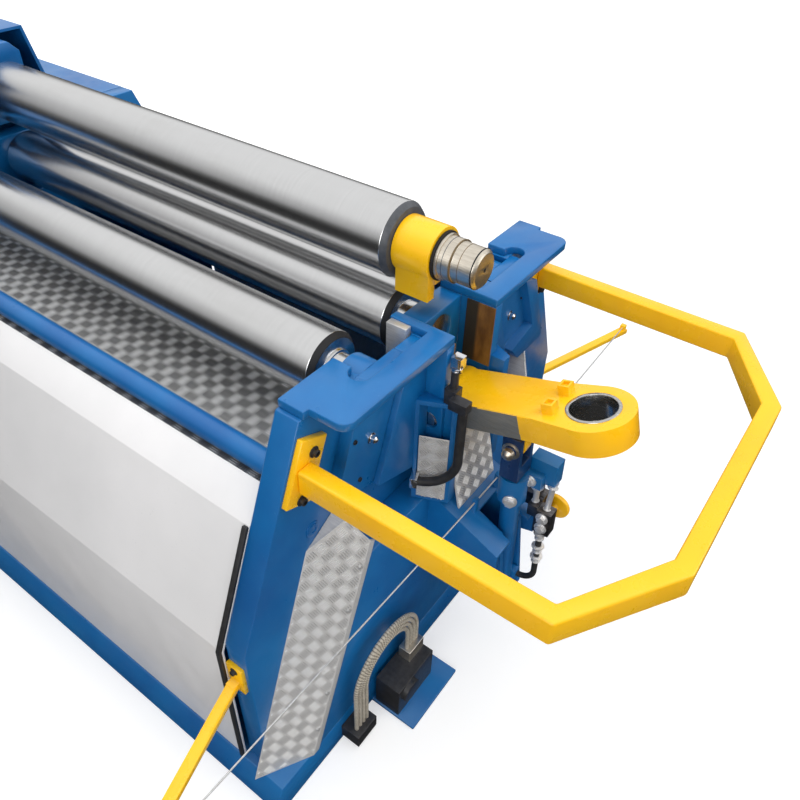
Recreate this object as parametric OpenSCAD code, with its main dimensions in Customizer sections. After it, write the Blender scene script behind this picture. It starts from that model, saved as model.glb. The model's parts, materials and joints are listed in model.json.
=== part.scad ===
// Four-roll plate bending machine with a drop-end yoke.
// Millimetres, +X along the rolls towards the drop end, +Y to the rear, +Z up.
// The origin lies on the floor under the outer face of the drop-end plate.

/* [Rolls] */
// Working width of the rolls
work_w = 1450; // [1000:10:1600]
// Diameter of the top roll
top_d = 170; // [150:1:174]
// Diameter of the bottom roll
bottom_d = 155; // [130:1:160]
// Diameter of the two side rolls
side_d = 157; // [130:1:160]
// Height of the top roll's axis
top_z = 1271; // [1265:1:1285]

/* [Frame] */
// Height of the end plates with their caps
frame_h = 1154; // [1130:1:1180]
// Half width of the end plates at the top
top_half = 456; // [440:1:480]
// Half width of the end plates at the foot
foot_half = 680; // [660:1:720]
// Thickness of the end plates
plate_t = 60; // [50:1:64]
// Height of the base
base_h = 110; // [100:1:120]

/* [Yoke] */
// Distance from the hinge pin to the yoke's bore
yoke_l = 350; // [345:1:355]
// Thickness of the yoke
yoke_t = 64; // [56:1:66]
// Radius of the yoke's bush
yoke_bore_r = 50; // [48:0.5:52]
// Tilt of the lowered yoke above level
yoke_tilt = 17; // [12:0.5:22]

/* [Guard] */
// Reach of the guard rail beyond the end plate
guard_reach = 695; // [640:5:750]
// Height of the guard rail's top
guard_z = 1040; // [1000:5:1060]

/* [Hidden] */
$fn = 64;
run = 0.05;
seat = 0.3;
clear = 5;
roll_len = work_w + 40;
roll_gap = 38;
roll_x1 = -plate_t - roll_gap;
roll_x0 = roll_x1 - roll_len;
drive_x1 = roll_x0 - roll_gap;
drive_x0 = drive_x1 - plate_t;
house_l = 540;
house_x0 = drive_x0 - house_l;
box_x1 = 72;
base_x1 = box_x1;
top_r = top_d / 2;
bot_r = bottom_d / 2;
side_r = side_d / 2;
roll_rest_gap = 35;
bot_z = top_z - top_r - bot_r - roll_rest_gap;
side_y = 250;
side_z = 1081;
track_a = 20;
journal_r = 45;
side_journal_r = 38;
cap_t = 20;
beam_t = 10;
body_top = frame_h - cap_t;
knee_z = 620;
gap_half = 85;
pad_t = 4;
gap_floor = 700;
cap_out = 92;
cheek_t = 28;
block_half = 55;
block_low = 60;
block_top = 52;
travel_up = 80;
travel_down = 30;
hinge_x = 58;
hinge_z = top_z - yoke_l;
pin_r = 22;
neck_half = gap_half - pad_t - clear - 2;
panel_x = 30;
panel_in = 51;
panel_out = 77;
panel_low = -240;
guide_x = 45;
liner_y = 108;
liner_z = 1060;
head_r = 88;
stub_r = 44;
collar_r = 62;
lug_u = 154;
lug_w = -101;
lug_x = hinge_x + lug_u * cos(yoke_tilt) - lug_w * sin(yoke_tilt);
lug_z = hinge_z + lug_u * sin(yoke_tilt) + lug_w * cos(yoke_tilt);
foot_x = 256;
foot_z = 330;
ram_a = atan2(lug_x - foot_x, lug_z - foot_z);
ram_len = sqrt(pow(lug_x - foot_x, 2) + pow(lug_z - foot_z, 2));
ram_r = 25;
rod_r = 14;
head_z0 = ram_len - 180;
head_z1 = ram_len - 100;
eye_x = 175;
eye_y = 54;
eye_z = 673;
post_x = 95;
post_y = 1118;
post_z = 500;
cover_x = 78;
hose_r = 11;
hose_x = 107;
hose_z0 = 859;
hose_z1 = 1006;
hose_bend = 88;
loop_x = 80;
loop_y = 22;
loop_z = 105;
loop_bend = 45;
loop_r = 8;
bundle_r = 6;
bundle_step = 14;
hood_x = 128;
hood_z0 = 688;
hood_z1 = 1000;
hood_a = atan(36 / (hood_x - guide_x));
box_z = 686;
shelf_z = 686;
cover_a = 20.6;
tube_w = 40;
tube_h = 60;
guard_half = 497;
guard_z0 = guard_z - tube_h;
slope = (foot_half - top_half) / (frame_h - knee_z);
slope_a = atan(slope);
function edge_y(z) = z > knee_z ? top_half + (frame_h - z) * slope : foot_half;
blue = [0.08, 0.33, 0.66];
yellow = [0.98, 0.76, 0.08];
steel = [0.75, 0.76, 0.77];
grey = [0.86, 0.87, 0.88];
black = [0.08, 0.08, 0.09];

// Extrudes a shape drawn in Y and Z from x0 to x1.
module along_x(x0, x1) {
  translate([x0, 0, 0])
    rotate([90, 0, 90])
      linear_extrude(height = x1 - x0)
        children();
}

// A round bar along X.
module bar_x(x0, x1, y, z, r) {
  translate([x0, y, z])
    rotate([0, 90, 0])
      cylinder(h = x1 - x0, r = r);
}

// A round bar along Y.
module bar_y(y0, y1, x, z, r) {
  translate([x, y0, z])
    rotate([-90, 0, 0])
      cylinder(h = y1 - y0, r = r);
}

// A box from one corner to the other.
module span(a, b) {
  translate(a)
    cube(b - a);
}

// The end plate's outline up to a given height.
module plate_outline(top) {
  polygon([
    [-foot_half, base_h], [foot_half, base_h], [foot_half, knee_z],
    [edge_y(top), top], [-edge_y(top), top], [-foot_half, knee_z]
  ]);
}

// Puts a shape on the leaning track of a side roll; s is 1 at the rear and -1 at the front.
module on_track(s) {
  translate([s * side_y, side_z])
    rotate(s * track_a)
      children();
}

// The window that a side roll's block slides in.
module track_window(s) {
  on_track(s)
    translate([-block_half - seat, -block_low - travel_down - clear])
      square([2 * (block_half + seat), block_low + block_top + travel_down + travel_up + 2 * clear]);
}

// A side beam's section, shrunk by t for its hollow; s is 1 at the rear and -1 at the front.
module beam_section(s, t) {
  polygon([
    [s * (724 - t), t], [s * (724 - t), 60], [s * (700 - t), base_h - t],
    [s * (560 + t), base_h - t], [s * (560 + t), t]
  ]);
}

// A closed box-section beam across the base.
module cross_beam(x) {
  difference() {
    span([x, -560, 0], [x + 140, 560, base_h]);
    span([x + beam_t, -552, beam_t], [x + 140 - beam_t, 552, base_h - beam_t]);
  }
}

module base_frame() {
  color(blue) {
    for (s = [-1, 1])
      difference() {
        along_x(house_x0, base_x1)
          beam_section(s, 0);
        along_x(house_x0 + beam_t, base_x1 - beam_t)
          beam_section(s, beam_t);
      }
    for (x = [house_x0, drive_x0 - 60, drive_x1 + 500, base_x1 - 140])
      cross_beam(x);
    span([house_x0, -561, base_h - 6], [base_x1, 561, base_h]);
    span([box_x1 - 1, -340, 0], [box_x1 + 145, -120, 12]);
  }
}

module drop_end_plate() {
  color(blue)
    difference() {
      along_x(-plate_t, 0)
        plate_outline(body_top);
      span([-plate_t - 1, -gap_half, gap_floor], [1, gap_half, frame_h]);
      along_x(-plate_t - 1, 1)
        for (s = [-1, 1]) {
          track_window(s);
          polygon([[s * liner_y, liner_z], [s * 210, liner_z], [s * 210, frame_h], [s * liner_y, frame_h]]);
        }
    }
}

module slide_liners() {
  color(steel)
    for (s = [-1, 1])
      span(
        [-plate_t + 4, s > 0 ? liner_y : -liner_y - 20, liner_z],
        [-4, s > 0 ? liner_y + 20 : -liner_y, frame_h - 4]
      );
}

module drop_end_caps() {
  color(blue)
    for (s = [-1, 1])
      difference() {
        translate([0, 0, body_top])
          linear_extrude(height = cap_t)
            difference() {
              union() {
                polygon([
                  [-plate_t, s * gap_half], [cap_out, s * gap_half],
                  [cap_out, s * (top_half - 41)], [cap_out - 26, s * (top_half - 15)],
                  [4, s * (top_half - 15)], [4, s * top_half], [-plate_t, s * top_half]
                ]);
                translate([cap_out - 26, s * (top_half - 41)])
                  circle(r = 26);
              }
              polygon([
                [-plate_t - 1, s * liner_y], [38, s * liner_y], [38, s * 300], [-12, s * 300],
                [-12, s * 296], [-plate_t - 1, s * 296]
              ]);
              translate([13, s * 300])
                circle(r = 25);
            }
      }
}

module yoke_cheeks() {
  color(blue)
    for (s = [-1, 1])
      difference() {
        span(
          [0, s > 0 ? gap_half : -gap_half - cheek_t, hinge_z - 60],
          [cap_out, s > 0 ? gap_half + cheek_t : -gap_half, body_top]
        );
        bar_y(-200, 200, hinge_x, hinge_z, pin_r + run);
      }
}

module yoke_wear_pads() {
  color([0.55, 0.36, 0.12])
    for (s = [-1, 1])
      span(
        [18, s > 0 ? gap_half - pad_t : -gap_half, hinge_z + 50],
        [cap_out, s > 0 ? gap_half : -gap_half + pad_t, body_top - 2]
      );
}

// Keeps what lies between the hinge cheek and the plate's edge, under the cap.
module track_zone(s) {
  intersection() {
    children();
    span(
      [-1, s > 0 ? gap_half + cheek_t : -480, 760],
      [60, s > 0 ? 480 : -gap_half - cheek_t, body_top]
    );
  }
}

module slide_guide_plates() {
  color(blue)
    for (s = [-1, 1])
      track_zone(s)
        along_x(0, guide_x)
          on_track(s)
            translate([s > 0 ? -400 : panel_in + 2, panel_low])
              square([398 - panel_in, 500]);
}

module slide_cover_panels() {
  color(blue) {
    for (s = [-1, 1])
      track_zone(s)
        along_x(0, panel_x)
          on_track(s)
            translate([s > 0 ? -panel_in : -panel_out, panel_low])
              square([panel_in + panel_out, 500]);
    along_x(panel_x - 1, panel_x + 26)
      polygon([
        [304, 1083], [349, 991], [384, 912], [277, 886], [322, 836], [392, 836], [457, 842],
        [396, 984], [364, 1062]
      ]);
  }
}

module drive_end_plate() {
  color(blue)
    difference() {
      along_x(drive_x0, drive_x1)
        union() {
          plate_outline(frame_h);
          polygon([
            [-90, frame_h - 1], [90, frame_h - 1], [90, top_z + 90], [60, top_z + 120],
            [-60, top_z + 120], [-90, top_z + 90]
          ]);
        }
      bar_x(drive_x0 - 1, drive_x1 + 1, 0, top_z, journal_r + 15 + run);
      span([drive_x0 - 1, -gap_half, bot_z - 136], [drive_x1 + 1, gap_half, body_top + 34.5]);
      along_x(drive_x0 - 1, drive_x1 + 1)
        for (s = [-1, 1])
          track_window(s);
    }
}

module drive_housing() {
  color(blue)
    difference() {
      along_x(house_x0, drive_x0)
        polygon([
          [-foot_half, base_h], [foot_half, base_h], [foot_half, knee_z],
          [edge_y(frame_h), frame_h], [210, frame_h], [150, top_z + 140],
          [-150, top_z + 140], [-210, frame_h], [-edge_y(frame_h), frame_h],
          [-foot_half, knee_z]
        ]);
      along_x(house_x0 + 8, drive_x0 + 1)
        polygon([
          [-foot_half + 8, base_h - 1], [foot_half - 8, base_h - 1], [foot_half - 8, knee_z],
          [edge_y(frame_h) - 10, frame_h - 8], [200, frame_h - 8], [142, top_z + 132],
          [-142, top_z + 132], [-200, frame_h - 8], [-edge_y(frame_h) + 10, frame_h - 8],
          [-foot_half + 8, knee_z]
        ]);
    }
}

// The side panel's section; s is 1 at the rear and -1 at the front.
module panel_section(s) {
  polygon([
    [s * 500, 950], [s * 566, 892], [s * 692, 596], [s * 697, base_h + 2],
    [s * 691, base_h + 2], [s * 686, 594], [s * 560, 889], [s * 500, 942]
  ]);
}

module front_panel() {
  color(grey)
    along_x(drive_x1 + seat, -plate_t - seat)
      panel_section(-1);
}

module rear_panel() {
  color(grey)
    along_x(drive_x1 + seat, -plate_t - seat)
      panel_section(1);
}

module front_panel_seal() {
  color(black)
    along_x(-plate_t - 14, -plate_t)
      polygon([
        [-566, 892], [-692, 596], [-697, base_h + 2],
        [-705, base_h + 2], [-700, 598], [-574, 896]
      ]);
}

module side_rail(s) {
  color(blue)
    bar_x(drive_x1, -plate_t, s * 462, 963, 26.5);
}

module front_rail() {
  side_rail(-1);
}

module rear_rail() {
  side_rail(1);
}

module side_deck(s) {
  color(steel)
    along_x(drive_x1, -plate_t)
      polygon([
        [s * 150, 936], [s * 498, 936], [s * 498, 928], [s * 158, 928],
        [s * 158, 880], [s * 150, 880]
      ]);
}

module front_deck() {
  side_deck(-1);
}

module rear_deck() {
  side_deck(1);
}

// A roll lying along X on the axis y, z with chamfered ends.
module roll_body(y, z, r) {
  translate([roll_x0, y, z])
    rotate([0, 90, 0])
      rotate_extrude()
        polygon([
          [0, 0], [r - 10, 0], [r, 14], [r, roll_len - 14], [r - 10, roll_len], [0, roll_len]
        ]);
}

module top_roll() {
  color(steel)
    difference() {
      union() {
        roll_body(0, top_z, top_r);
        bar_x(drive_x0 + 2, roll_x0 + 1, 0, top_z, journal_r + 15);
        bar_x(roll_x1 - 1, -2, 0, top_z, 50);
        bar_x(-3, 40, 0, top_z, 47);
        bar_x(39, 90, 0, top_z, stub_r);
        translate([90, 0, top_z])
          rotate([0, 90, 0])
            cylinder(h = 7, r1 = stub_r, r2 = stub_r - 7);
      }
      bar_x(80, 100, 0, top_z, 4);
    }
}

module top_roll_collar() {
  color(yellow)
    difference() {
      union() {
        bar_x(roll_x1 + 2, -4, 0, top_z, collar_r);
        span([roll_x1 + 8, -52, top_z - 93], [-4, 60, top_z - 30]);
      }
      bar_x(-110, 0, 0, top_z, 50 + run);
      span([-110, -27, top_z - 100], [0, 8, top_z - 40]);
      span([-32, 8, top_z - 100], [0, 70, top_z - 64]);
    }
}

module bottom_roll() {
  color(steel) {
    roll_body(0, bot_z, bot_r);
    bar_x(drive_x0 + 2, roll_x0 + 1, 0, bot_z, journal_r);
    bar_x(roll_x1 - 1, -6, 0, bot_z, journal_r);
  }
}

// A journal block in the middle gap.
module middle_block(x0) {
  difference() {
    span([x0, -gap_half + seat, bot_z - 90], [x0 + plate_t, gap_half - seat, body_top - 0.5]);
    bar_x(x0 - 1, x0 + plate_t + 1, 0, bot_z, journal_r + run);
  }
}

module bottom_roll_blocks() {
  color(blue) {
    middle_block(-plate_t);
    middle_block(drive_x0);
  }
}

module side_roll(s) {
  color(steel) {
    roll_body(s * side_y, side_z, side_r);
    bar_x(drive_x0 + 2, roll_x0 + 1, s * side_y, side_z, side_journal_r);
    bar_x(roll_x1 - 1, roll_x1 + 8, s * side_y, side_z, side_journal_r + 7);
    bar_x(roll_x1, -6, s * side_y, side_z, side_journal_r);
  }
}

module slide_blocks(s) {
  color(blue)
    for (x0 = [-plate_t, drive_x0])
      difference() {
        along_x(x0 + 2, x0 + plate_t - 2)
          on_track(s)
            union() {
              translate([-block_half, -block_low])
                square([2 * block_half, block_low + block_top - block_half]);
              translate([0, block_top - block_half])
                circle(r = block_half);
            }
        bar_x(x0 - 1, x0 + plate_t + 1, s * side_y, side_z, side_journal_r + run);
      }
}

module front_side_roll() {
  side_roll(-1);
}

module front_slide_blocks() {
  slide_blocks(-1);
}

module rear_side_roll() {
  side_roll(1);
}

module rear_slide_blocks() {
  slide_blocks(1);
}

// Places yoke pieces: X along the arm from the hinge, Z square to its upper face.
module on_yoke() {
  translate([hinge_x, 0, hinge_z])
    rotate([0, -yoke_tilt, 0])
      children();
}

module yoke_arm() {
  color(yellow)
    on_yoke()
      difference() {
        union() {
          translate([0, 0, -yoke_t / 2])
            linear_extrude(height = yoke_t)
              union() {
                polygon([
                  [0, -neck_half], [yoke_l - 118, -neck_half], [yoke_l - 48, -head_r + 5],
                  [yoke_l, -head_r], [yoke_l, head_r], [yoke_l - 48, head_r - 5],
                  [yoke_l - 118, neck_half], [0, neck_half]
                ]);
                translate([yoke_l, 0])
                  circle(r = head_r);
              }
          bar_y(-neck_half, neck_half, 0, 0, yoke_t / 2 + 6);
          for (s = [-1, 1])
            span(
              [yoke_l - 238, s > 0 ? neck_half - 1 : -neck_half - 2, -16],
              [yoke_l - 96, s > 0 ? neck_half + 2 : -neck_half + 1, yoke_t / 2 - 1]
            );
          for (s = [-1, 1])
            translate([yoke_l - 92, s * 38 - 14, yoke_t / 2 - 1])
              cube([26, 28, 25]);
          translate([0, 14, 0])
            rotate([90, 0, 0])
              linear_extrude(height = 28)
                union() {
                  polygon([
                    [lug_u - 42, -yoke_t / 2 + 1], [lug_u + 43, -yoke_t / 2 + 1],
                    [lug_u + 25, lug_w], [lug_u - 25, lug_w]
                  ]);
                  translate([lug_u, lug_w])
                    circle(r = 26);
                }
        }
        translate([yoke_l, 0, -yoke_t])
          cylinder(h = 2 * yoke_t, r = yoke_bore_r + 8);
        bar_y(-100, 100, 0, 0, pin_r + run);
      }
}

module yoke_bush() {
  color(steel)
    on_yoke()
      translate([yoke_l, 0, -yoke_t / 2 - 2])
        difference() {
          cylinder(h = yoke_t + 4, r = yoke_bore_r + 8);
          translate([0, 0, -1])
            cylinder(h = yoke_t + 6, r = yoke_bore_r);
        }
}

module yoke_hinge_pin() {
  color(steel)
    bar_y(-gap_half - cheek_t + 2, gap_half + cheek_t - 2, hinge_x, hinge_z, pin_r);
}

// Places ram pieces: Z along the ram from its foot pin.
module on_ram() {
  translate([foot_x, 0, foot_z])
    rotate([0, ram_a, 0])
      children();
}

module ram_barrel() {
  color(blue)
    on_ram()
      difference() {
        union() {
          translate([0, 0, 44])
            cylinder(h = head_z0 - 40, r = ram_r);
          translate([0, 0, head_z0])
            cylinder(h = head_z1 - head_z0, r = ram_r + 11);
          bar_y(-33, 33, 0, 0, 28);
          span([-20, -20, 0], [20, 20, 46]);
          span(
            [8, 10, loop_z - loop_bend - 13],
            [loop_x - loop_bend - seat, 34, loop_z - loop_bend + 13]
          );
          span([-14, 20, head_z1 - 42], [62, 46, head_z1 - 4]);
          span([18, 44, head_z1 - 38], [88, 84, head_z1 + 30]);
        }
        translate([0, 0, 120])
          cylinder(h = ram_len, r = rod_r + run);
        bar_y(-50, 50, 0, 0, 16 + run);
      }
}

module ram_rod() {
  color(steel)
    on_ram()
      difference() {
        union() {
          translate([0, 0, 130])
            cylinder(h = ram_len - 130 - 94, r = rod_r);
          span([-24, -34, ram_len - 95], [24, 34, ram_len + 35]);
          bar_y(-42, 42, 0, ram_len, 15);
        }
        span([-60, -20, ram_len - 52], [60, 20, ram_len + 60]);
      }
}

// Extrudes a shape drawn in X and Z from y0 to y1.
module along_y(y0, y1) {
  translate([0, y1, 0])
    rotate([90, 0, 0])
      linear_extrude(height = y1 - y0)
        children();
}

module ram_foot_bracket() {
  color(blue)
    difference() {
      union() {
        for (s = [-1, 1]) {
          along_y(s > 0 ? 102 : -110, s > 0 ? 110 : -102)
            polygon([[box_x1, 420], [box_x1, shelf_z], [278, shelf_z - 99], [278, 480]]);
          along_y(s > 0 ? 40 : -54, s > 0 ? 54 : -40)
            union() {
              polygon([
                [box_x1, foot_z - 30], [foot_x - 5, foot_z - 32], [foot_x + 27, foot_z - 15],
                [foot_x + 29, foot_z + 20], [254, shelf_z - 91], [box_x1, shelf_z - 4]
              ]);
              translate([foot_x, foot_z])
                circle(r = 32);
            }
        }
        difference() {
          along_y(-110, 110)
            polygon([
              [box_x1, shelf_z], [278, shelf_z - 99], [278, shelf_z - 108], [box_x1, shelf_z - 9]
            ]);
          span([180, -46, 500], [300, 46, 700]);
        }
        bar_y(-60, 60, foot_x, foot_z, 16);
        for (s = [-1, 1])
          span(
            [eye_x - 8, s * eye_y - 7, shelf_z - 70],
            [eye_x + 4, s * eye_y + 7, eye_z + 8]
          );
      }
      span([180, -40 + run, 500], [300, 40 - run, 700]);
    }
}

// A valve pack that hangs under the block beside the ram's head.
module ram_valve_block() {
  color([0.35, 0.36, 0.38])
    on_ram() {
      translate([44, 64, head_z1 - 90])
        cylinder(h = 52 - seat, r = 12);
      span([14, 45, head_z1 - 130], [66, 80, head_z1 - 88]);
      span([40, 12, head_z1 - 128], [66, 50, head_z1 - 92]);
      span([60, 12, head_z1 - 176], [104, 46, head_z1 - 100]);
    }
}

// A round grip at the rear of the valve pack.
module ram_knob() {
  color(yellow)
    on_ram() {
      bar_y(46 + seat, 84, 84, head_z1 - 138, 9);
      bar_y(82, 94, 84, head_z1 - 138, 37);
    }
}

// A quarter of a ring of round section from +X towards +Y, of radius r and thickness 2 * t.
module bend(r, t) {
  intersection() {
    rotate_extrude()
      translate([r, 0])
        circle(r = t);
    translate([0, 0, -t - 1])
      cube([r + t + 1, r + t + 1, 2 * t + 2]);
  }
}

// A hose that loops from the valve pack down to the ram's lower port.
module ram_hose() {
  color(black)
    on_ram()
      translate([0, loop_y, loop_z]) {
        translate([loop_x, 0, 0])
          cylinder(h = head_z1 - 176 - loop_z - seat, r = loop_r);
        translate([loop_x - loop_bend, 0, 0])
          rotate([-90, 0, 0])
            bend(loop_bend, loop_r);
      }
}

module guard_rail() {
  w = guard_half;
  x1 = 15;
  x2 = guard_reach - 145;
  x3 = guard_reach;
  t = tube_w;
  color(yellow)
    translate([0, 0, guard_z0])
      linear_extrude(height = tube_h)
        difference() {
          polygon([[x1, -w], [x2, -w], [x3, -w + 228], [x3, w - 228], [x2, w], [x1, w]]);
          polygon([
            [x1 - 1, -w + t], [x2 - 15, -w + t], [x3 - t, -w + 242],
            [x3 - t, w - 242], [x2 - 15, w - t], [x1 - 1, w - t]
          ]);
        }
}

module guard_brackets() {
  color(yellow)
    for (s = [-1, 1])
      along_x(0, 15)
        translate([s * (edge_y(guard_z - 10) - 5), guard_z - 10])
          rotate(s * slope_a)
            translate([s > 0 ? -74 : 0, -76])
              square([74, 152]);
}

// Brackets on the end plate's narrow edges with level arms out to the trip wire's ends.
module trip_wire_posts() {
  arm_y = foot_half + 20;
  a = atan2(post_y - arm_y, post_x + 35);
  l = sqrt(pow(post_y - arm_y, 2) + pow(post_x + 35, 2));
  color(yellow)
    for (s = [-1, 1]) {
      span(
        [-58, s > 0 ? foot_half : -foot_half - 10, post_z - 30],
        [-12, s > 0 ? foot_half + 10 : -foot_half, post_z + 60]
      );
      span(
        [-47, s > 0 ? foot_half + 6 : -foot_half - 30, post_z - 10],
        [-23, s > 0 ? foot_half + 30 : -foot_half - 6, post_z + 10]
      );
      translate([-35, s * arm_y, post_z])
        rotate([0, 0, s * a])
          translate([0, -13, -8])
            cube([l + 12, 26, 16]);
      span([post_x - 9, s * post_y - 9, post_z - 12], [post_x + 9, s * post_y + 9, post_z + 26]);
    }
}

// One straight run of the trip wire, from a post's upper end to the eye; s is 1 at the rear.
module wire_run(s) {
  dx = eye_x - post_x;
  dy = eye_y - post_y;
  dz = eye_z - post_z - 17;
  l = sqrt(dx * dx + dy * dy + dz * dz);
  translate([post_x, s * post_y, post_z + 17])
    rotate([0, acos(dz / l), atan2(s * dy, dx)])
      translate([0, 0, 9.6])
        cylinder(h = l - 17.2, r = 2);
}

module trip_wire() {
  color(steel) {
    for (s = [-1, 1])
      wire_run(s);
    bar_y(-eye_y + 7 + seat, eye_y - 7 - seat, eye_x, eye_z, 2);
  }
}

// The lower box on the drop end's outer face.
module front_box() {
  color(blue)
    difference() {
      along_x(0, box_x1)
        polygon([
          [-570, base_h], [570, base_h], [346, box_z], [-346, box_z]
        ]);
      along_x(-1, box_x1 - 8)
        polygon([
          [-558, base_h + 8], [558, base_h + 8], [340, box_z - 8], [-340, box_z - 8]
        ]);
    }
}

// The folded covers of the side cylinders, which lean with their tracks.
module tall_cover() {
  color(steel)
    for (m = [0, 1])
      mirror([0, m, 0])
        one_tall_cover();
}

module one_tall_cover() {
  intersection() {
    translate([0, -480, 763])
      rotate([-cover_a, 0, 0])
        translate([0, 0, -900])
          linear_extrude(height = 1000)
            difference() {
              union() {
                polygon([[0, 0], [cover_x, 126], [0, 126]]);
                translate([box_x1, 125])
                  square([cover_x - box_x1, 20]);
              }
              polygon([[-1, 8], [-1, 122], [cover_x - 5, 122]]);
            }
    along_x(0, cover_x)
      polygon([
        [-900, base_h], [-300, base_h], [-300, 700], [-352, 742], [-388, 822], [-490, 763],
        [-900, 650]
      ]);
  }
}

// The plan of a hinge housing, shrunk by t; s is 1 at the rear and -1 at the front.
module hood_plan(s, t) {
  y0 = gap_half + cheek_t;
  polygon([
    [guide_x + t, s * (y0 - (t > 0 ? 1 : 0))], [guide_x + t, s * (y0 + 38 - t)],
    [hood_x - t, s * (y0 + 2 - t)], [hood_x - t, s * (y0 - 24)],
    [cap_out + seat, s * (y0 - 24)], [cap_out + seat, s * (y0 - (t > 0 ? 1 : 0))]
  ]);
}

// A housing beside the yoke's hinge; its slanting face is open round the pin's end.
module hinge_housings() {
  color(blue)
    for (s = [-1, 1])
      difference() {
        translate([0, 0, hood_z0])
          linear_extrude(height = hood_z1 - hood_z0)
            hood_plan(s, 0);
        translate([0, 0, hood_z0 + 30])
          linear_extrude(height = hood_z1 - hood_z0 - 42)
            hood_opening(s);
      }
}

// The opening in a hinge housing, which keeps a wall of 8 mm at each side.
module hood_opening(s) {
  y0 = gap_half + cheek_t;
  polygon([
    [guide_x + 8, s * (y0 - 1)], [guide_x + 8, s * (y0 + 60)], [hood_x - 8, s * (y0 + 60)],
    [hood_x - 8, s * (y0 - 10)], [cap_out + 1, s * (y0 - 10)], [cap_out + 1, s * (y0 - 1)]
  ]);
}

// Places pieces on a housing's slanting face: X along the face, Y out of it at the rear.
module on_hood_face(s) {
  translate([guide_x, s * (gap_half + cheek_t + 38), 0])
    rotate([0, 0, -s * hood_a])
      children();
}

module hinge_covers() {
  color(steel) {
    for (s = [-1, 1])
      on_hood_face(s)
        span([12, s > 0 ? 0 : -3, hood_z0 + 12], [82, s > 0 ? 3 : 0, hood_z0 + 210]);
    along_y(-gap_half + seat, gap_half - seat)
      polygon([
        [140, shelf_z - 32.5], [146, shelf_z - 35.3], [98, hinge_z - 51], [92, hinge_z - 51]
      ]);
  }
}

// A bent hose that lies in an upright plane beside the front hinge housing.
module hinge_hose() {
  color(black)
    on_hood_face(-1)
      translate([0, -22, 0]) {
        translate([hose_x, 0, hose_z0])
          cylinder(h = hose_z1 - hose_z0 - seat, r = hose_r);
        translate([hose_x - hose_bend, 0, hose_z0])
          rotate([-90, 0, 0])
            bend(hose_bend, hose_r);
      }
}

module hose_fittings() {
  color(black) {
    span([120, -140, hose_z1], [164, -114, hose_z1 + 26]);
    span([98, -122, hood_z1], [126, -94, 1040]);
    translate([112, -106, 1039])
      cylinder(h = 47, r = 9);
    span([98, -106, 1085], [122, -82, 1115]);
    translate([112, -100, 1080])
      cylinder(h = 10, r = 12);
    on_hood_face(-1) {
      span(
        [0.5, -35, hose_z0 - hose_bend - 14],
        [hose_x - hose_bend - seat, -9, hose_z0 - hose_bend + 14]
      );
      span([0.5, -10, hose_z0 - hose_bend - 14], [11.5, 0, hose_z0 - hose_bend + 14]);
    }
  }
}

module hydraulic_unit() {
  color(black) {
    span([box_x1 + 10, -336, 12], [box_x1 + 90, -172, 132]);
    bar_x(box_x1 + 16, box_x1 + 104, -290, 96, 34);
    span([box_x1 + 18, -243, 130], [box_x1 + 58, -176, 176]);
    span([box_x1, -476, 22], [box_x1 + 60, -396, 70]);
  }
}

// Four hoses that arch from the manifold at the base's end to the hydraulic unit.
module unit_hoses() {
  color([0.62, 0.58, 0.5])
    for (i = [0:3]) {
      r = 92 + i * bundle_step;
      translate([box_x1 + 38, -322, 0]) {
        translate([0, r, 176 + seat])
          cylinder(h = 60 - seat, r = bundle_r);
        translate([0, -r, 70 + seat])
          cylinder(h = 166 - seat, r = bundle_r);
        translate([0, 0, 236])
          rotate([0, 90, 0])
            rotate([0, 0, 180])
              bend(r, bundle_r);
        translate([0, 0, 236])
          rotate([0, 90, 0])
            rotate([0, 0, 90])
              bend(r, bundle_r);
      }
    }
}

base_frame();
drop_end_plate();
drop_end_caps();
slide_liners();
front_box();
yoke_cheeks();
yoke_wear_pads();
slide_guide_plates();
slide_cover_panels();
drive_end_plate();
drive_housing();
front_panel();
front_panel_seal();
front_rail();
front_deck();
rear_panel();
rear_rail();
rear_deck();
top_roll();
top_roll_collar();
bottom_roll();
bottom_roll_blocks();
front_side_roll();
front_slide_blocks();
rear_side_roll();
rear_slide_blocks();
yoke_arm();
yoke_bush();
yoke_hinge_pin();
ram_barrel();
ram_rod();
ram_foot_bracket();
ram_valve_block();
guard_rail();
guard_brackets();
trip_wire_posts();
trip_wire();
tall_cover();
hinge_housings();
hinge_covers();
hinge_hose();
hose_fittings();
hydraulic_unit();
ram_knob();
ram_hose();
unit_hoses();
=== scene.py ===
import json
import math

import bpy
from mathutils import Matrix, Vector


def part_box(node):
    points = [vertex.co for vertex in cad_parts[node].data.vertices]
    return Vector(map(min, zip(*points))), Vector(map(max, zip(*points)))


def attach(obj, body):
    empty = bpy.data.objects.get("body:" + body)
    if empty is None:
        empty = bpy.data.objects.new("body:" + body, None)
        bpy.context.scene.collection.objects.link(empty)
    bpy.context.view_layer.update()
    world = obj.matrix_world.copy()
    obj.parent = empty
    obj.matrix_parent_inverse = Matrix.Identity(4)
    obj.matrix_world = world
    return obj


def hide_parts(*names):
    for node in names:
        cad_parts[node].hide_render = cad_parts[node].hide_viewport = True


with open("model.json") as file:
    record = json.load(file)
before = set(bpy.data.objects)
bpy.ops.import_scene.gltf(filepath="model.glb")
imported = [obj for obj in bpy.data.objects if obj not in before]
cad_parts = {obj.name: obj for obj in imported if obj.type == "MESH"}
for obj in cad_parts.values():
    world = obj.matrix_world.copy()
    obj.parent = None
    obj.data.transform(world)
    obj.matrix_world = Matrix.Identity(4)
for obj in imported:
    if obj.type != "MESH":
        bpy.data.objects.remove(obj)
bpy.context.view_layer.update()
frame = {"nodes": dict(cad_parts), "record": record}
print("stage: frame loaded")

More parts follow.
